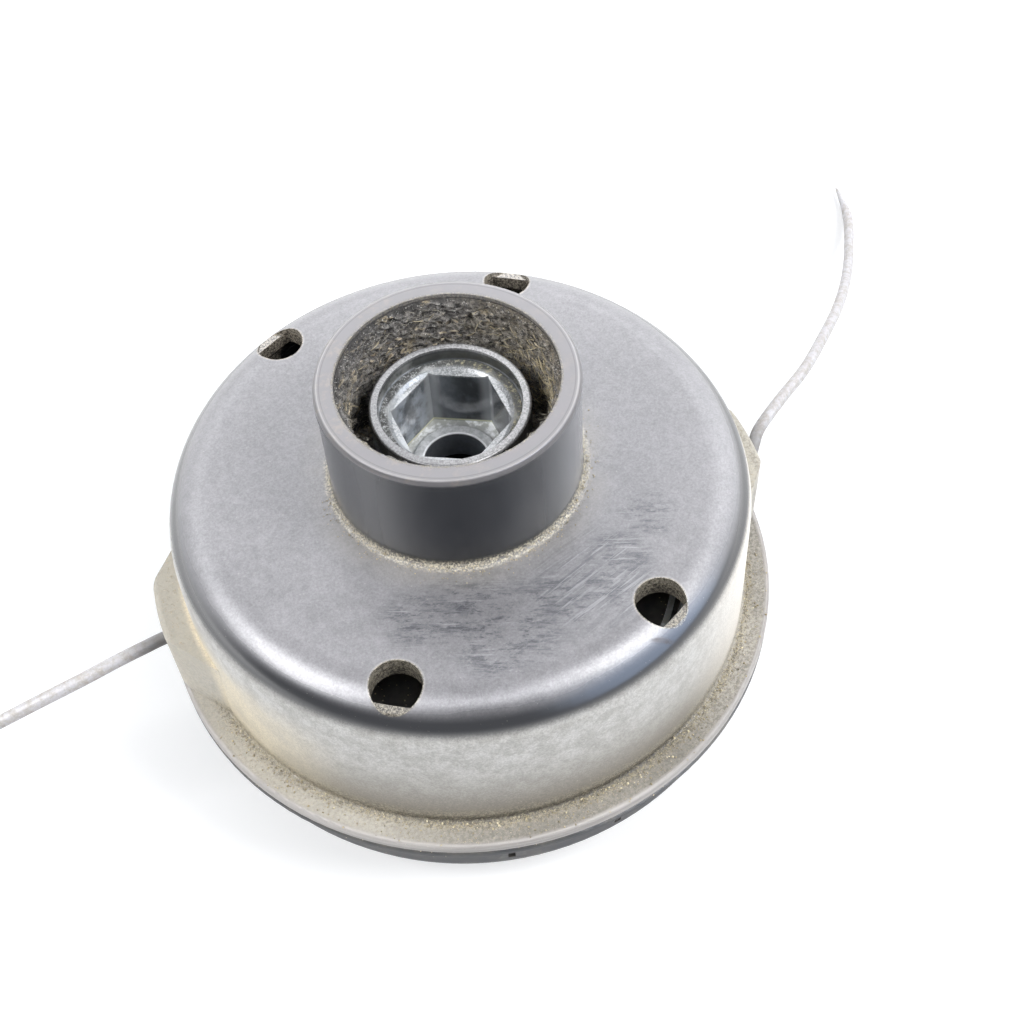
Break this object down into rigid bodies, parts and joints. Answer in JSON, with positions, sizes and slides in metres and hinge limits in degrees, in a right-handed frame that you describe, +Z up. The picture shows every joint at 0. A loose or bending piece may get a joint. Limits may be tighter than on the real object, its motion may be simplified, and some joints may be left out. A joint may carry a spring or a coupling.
{
  "type": "trimmer head",
  "caption": "Bump-feed trimmer head with a domed housing, a collar round a hexagon socket, a sprung line spool with its knob, a latched cover and free line ends.",
  "frame": {"origin": "on the axis of rotation, at the face of the bump knob that the head stands on", "axes": "+Z up along the axis of rotation towards the collar; the two line exits lie on the X axis"},
  "size_m": [0.2796, 0.1505, 0.0827],
  "materials": {
    "housing_plastic": "satin grey-black glass-filled nylon, scuffed and dusty",
    "cover_plastic": "matt black nylon",
    "spool_plastic": "matt black nylon",
    "knob_plastic": "matt black nylon, worn on its face",
    "seat_plastic": "natural acetal",
    "line_nylon": "grey nylon cutting line",
    "eyelet_metal": "dull, dusty",
    "bush_steel": "zinc plated, dull and greasy",
    "spring_steel": "dark oiled wire",
    "washer_steel": "plain",
    "screw_steel": "zinc plated"
  },
  "bodies": {
    "head": {"housing": "housing_plastic", "centre_bush": "bush_steel", "left_eyelet": "eyelet_metal", "right_eyelet": "eyelet_metal", "spring_seat": "seat_plastic", "spring": "spring_steel", "cover": "cover_plastic", "left_line": "line_nylon", "right_line": "line_nylon"},
    "carrier": {"thrust_washer": "washer_steel"},
    "reel": {"spool": "spool_plastic", "upper_winding": "line_nylon", "lower_winding": "line_nylon", "line_bit_1": "line_nylon", "line_bit_2": "line_nylon", "bump_knob": "knob_plastic", "knob_screw_1": "screw_steel", "knob_screw_2": "screw_steel", "knob_screw_3": "screw_steel"}
  },
  "joints": [
    {"name": "bump", "type": "slide", "parent": "head", "child": "carrier", "axis": [0, 0, 1], "range_m": [0, 0.0065], "stiffness_N_per_m": 900, "springref_m": -0.008, "deforming": ["spring"]},
    {"name": "spool_turn", "type": "hinge", "parent": "carrier", "child": "reel", "pos_m": [0, 0, 0.029], "axis": [0, 0, 1], "continuous": true}
  ]
}
